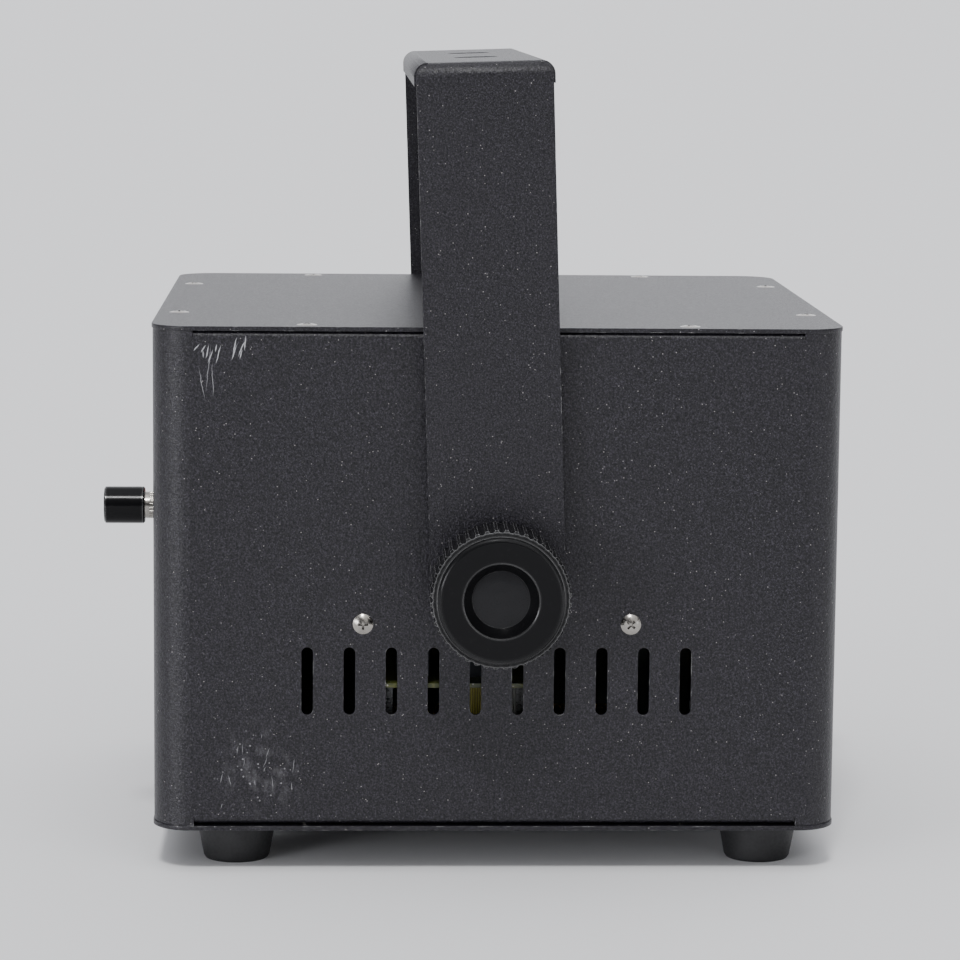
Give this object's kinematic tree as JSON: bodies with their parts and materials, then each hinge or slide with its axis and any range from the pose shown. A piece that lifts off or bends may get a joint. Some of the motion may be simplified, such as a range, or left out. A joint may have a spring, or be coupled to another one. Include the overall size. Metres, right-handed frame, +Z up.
{
  "type": "stage fog machine",
  "caption": "Compact black stage fog machine in a folded sheet-steel housing with side vent slots, hung in a tilting yoke held by toothed clamp knobs.",
  "frame": {"origin": "on the floor under the centre of the machine", "axes": "+Z up, -Y front with the fog outlet, +Y rear with the controls, the yoke turns about X"},
  "size_m": [0.309, 0.2886, 0.2954],
  "materials": {
    "black_powder_coat": "fine-textured black powder coat",
    "zinc_steel": "bright zinc-plated steel",
    "galvanised_sheet": "plain galvanised sheet",
    "black_screw": "blackened steel screws",
    "rubber": "matt black rubber",
    "gloss_black_plastic": "glossy moulded plastic",
    "friction_fibre": "dark friction material",
    "cast_aluminium": "dull cast aluminium",
    "glass_fibre_wrap": "yellow-brown woven heat wrap",
    "brass": "turned brass",
    "coil_wrap": "olive-yellow insulating tape",
    "laminated_steel": "grey steel laminations",
    "tank_plastic": "milky translucent plastic",
    "seal_rubber": "red-brown seal rubber",
    "tube_silicone": "milky silicone tube",
    "board_laminate": "olive-yellow circuit board",
    "component_plastic": "moulded components",
    "wire_jacket": "red-brown insulated wire",
    "wire_sleeve": "pale glass-fibre wire sleeve",
    "red_plastic": "red moulded plastic",
    "green_lens": "green lamp lens",
    "socket_plastic": "black moulded sockets"
  },
  "bodies": {
    "housing": {"base_plate": "black_powder_coat", "top_plate": "black_powder_coat", "left_side_shell": "black_powder_coat", "right_side_shell": "black_powder_coat", "front_panel": "black_powder_coat", "rear_panel": "black_powder_coat", "plate_screws": "zinc_steel", "panel_screws": "black_screw", "side_screws": "zinc_steel", "pivot_plates": "galvanised_sheet", "rubber_feet": "rubber", "foot_screws": "zinc_steel", "friction_discs": "friction_fibre", "heater_block": "cast_aluminium", "heater_elements": "zinc_steel", "heater_insulation": "glass_fibre_wrap", "heater_cradle": "galvanised_sheet", "heater_straps": "galvanised_sheet", "heater_inlet": "brass", "thermostats": "zinc_steel", "nozzle": "brass", "outlet_ring": "socket_plastic", "outlet_ring_screws": "black_screw", "pump_cylinder": "brass", "pump_coil": "coil_wrap", "pump_frame": "laminated_steel", "pump_mounts": "rubber", "fluid_tank": "tank_plastic", "suction_tube": "tube_silicone", "delivery_tube": "tube_silicone", "control_board": "board_laminate", "board_components": "component_plastic", "board_standoffs": "zinc_steel", "mains_wires": "wire_jacket", "heater_wires": "wire_sleeve", "potentiometer": "galvanised_sheet", "potentiometer_nut": "zinc_steel", "button_housing": "zinc_steel", "ready_lamp": "green_lens", "switch_frame": "socket_plastic", "mains_inlet": "socket_plastic", "remote_socket": "socket_plastic", "connector_contacts": "brass"},
    "yoke": {"yoke": "black_powder_coat"},
    "left_clamp_washer": {"left_clamp_washer": "zinc_steel"},
    "left_clamp_knob": {"left_clamp_knob": "gloss_black_plastic", "left_clamp_stud": "zinc_steel", "left_knob_cap": "gloss_black_plastic"},
    "right_clamp_washer": {"right_clamp_washer": "zinc_steel"},
    "right_clamp_knob": {"right_clamp_knob": "gloss_black_plastic", "right_clamp_stud": "zinc_steel", "right_knob_cap": "gloss_black_plastic"},
    "output_knob": {"output_knob": "gloss_black_plastic", "potentiometer_shaft": "zinc_steel"},
    "manual_button": {"manual_button": "red_plastic"},
    "power_rocker": {"power_rocker": "red_plastic"},
    "cap_seal": {"cap_seal": "seal_rubber"},
    "filler_cap": {"filler_cap": "socket_plastic"},
    "fuse_drawer": {"fuse_drawer": "socket_plastic"},
    "pump_plunger": {"pump_plunger": "zinc_steel"}
  },
  "joints": [
    {"name": "yoke_tilt", "type": "hinge", "parent": "housing", "child": "yoke", "pos_m": [0, 0, 0.1066], "axis": [1, 0, 0], "range_deg": [-110, 110]},
    {"name": "left_clamp_slide", "type": "slide", "parent": "housing", "child": "left_clamp_washer", "axis": [-1, 0, 0], "range_m": [0, 0.0025]},
    {"name": "left_clamp_turn", "type": "hinge", "parent": "left_clamp_washer", "child": "left_clamp_knob", "pos_m": [-0.14, 0, 0.1066], "axis": [-1, 0, 0], "range_deg": [0, 720]},
    {"name": "right_clamp_slide", "type": "slide", "parent": "housing", "child": "right_clamp_washer", "axis": [1, 0, 0], "range_m": [0, 0.0025]},
    {"name": "right_clamp_turn", "type": "hinge", "parent": "right_clamp_washer", "child": "right_clamp_knob", "pos_m": [0.14, 0, 0.1066], "axis": [1, 0, 0], "range_deg": [0, 720]},
    {"name": "output_turn", "type": "hinge", "parent": "housing", "child": "output_knob", "pos_m": [-0.075, 0.13, 0.1291], "axis": [0, 1, 0], "range_deg": [-150, 150]},
    {"name": "button_press", "type": "slide", "parent": "housing", "child": "manual_button", "axis": [0, -1, 0], "range_m": [0, 0.002], "stiffness_N_per_m": 800},
    {"name": "rocker_tip", "type": "hinge", "parent": "housing", "child": "power_rocker", "pos_m": [0.01, 0.12015, 0.052], "axis": [1, 0, 0], "range_deg": [-16, 0]},
    {"name": "cap_slide", "type": "slide", "parent": "housing", "child": "cap_seal", "axis": [0, 1, 0], "range_m": [0, 0.00675]},
    {"name": "cap_turn", "type": "hinge", "parent": "cap_seal", "child": "filler_cap", "pos_m": [0.0815, 0.13, 0.15], "axis": [0, 1, 0], "range_deg": [0, 810]},
    {"name": "fuse_slide", "type": "slide", "parent": "housing", "child": "fuse_drawer", "axis": [0, 1, 0], "range_m": [0, 0.01]},
    {"name": "pump_stroke", "type": "slide", "parent": "housing", "child": "pump_plunger", "axis": [0, 1, 0], "range_m": [-0.005, 0.005], "stiffness_N_per_m": 500}
  ],
  "couplings": [
    {"joint": "left_clamp_slide", "follows": "left_clamp_turn", "m_per_rad": 0.00019894},
    {"joint": "right_clamp_slide", "follows": "right_clamp_turn", "m_per_rad": 0.00019894},
    {"joint": "cap_slide", "follows": "cap_turn", "m_per_rad": 0.00047746}
  ]
}
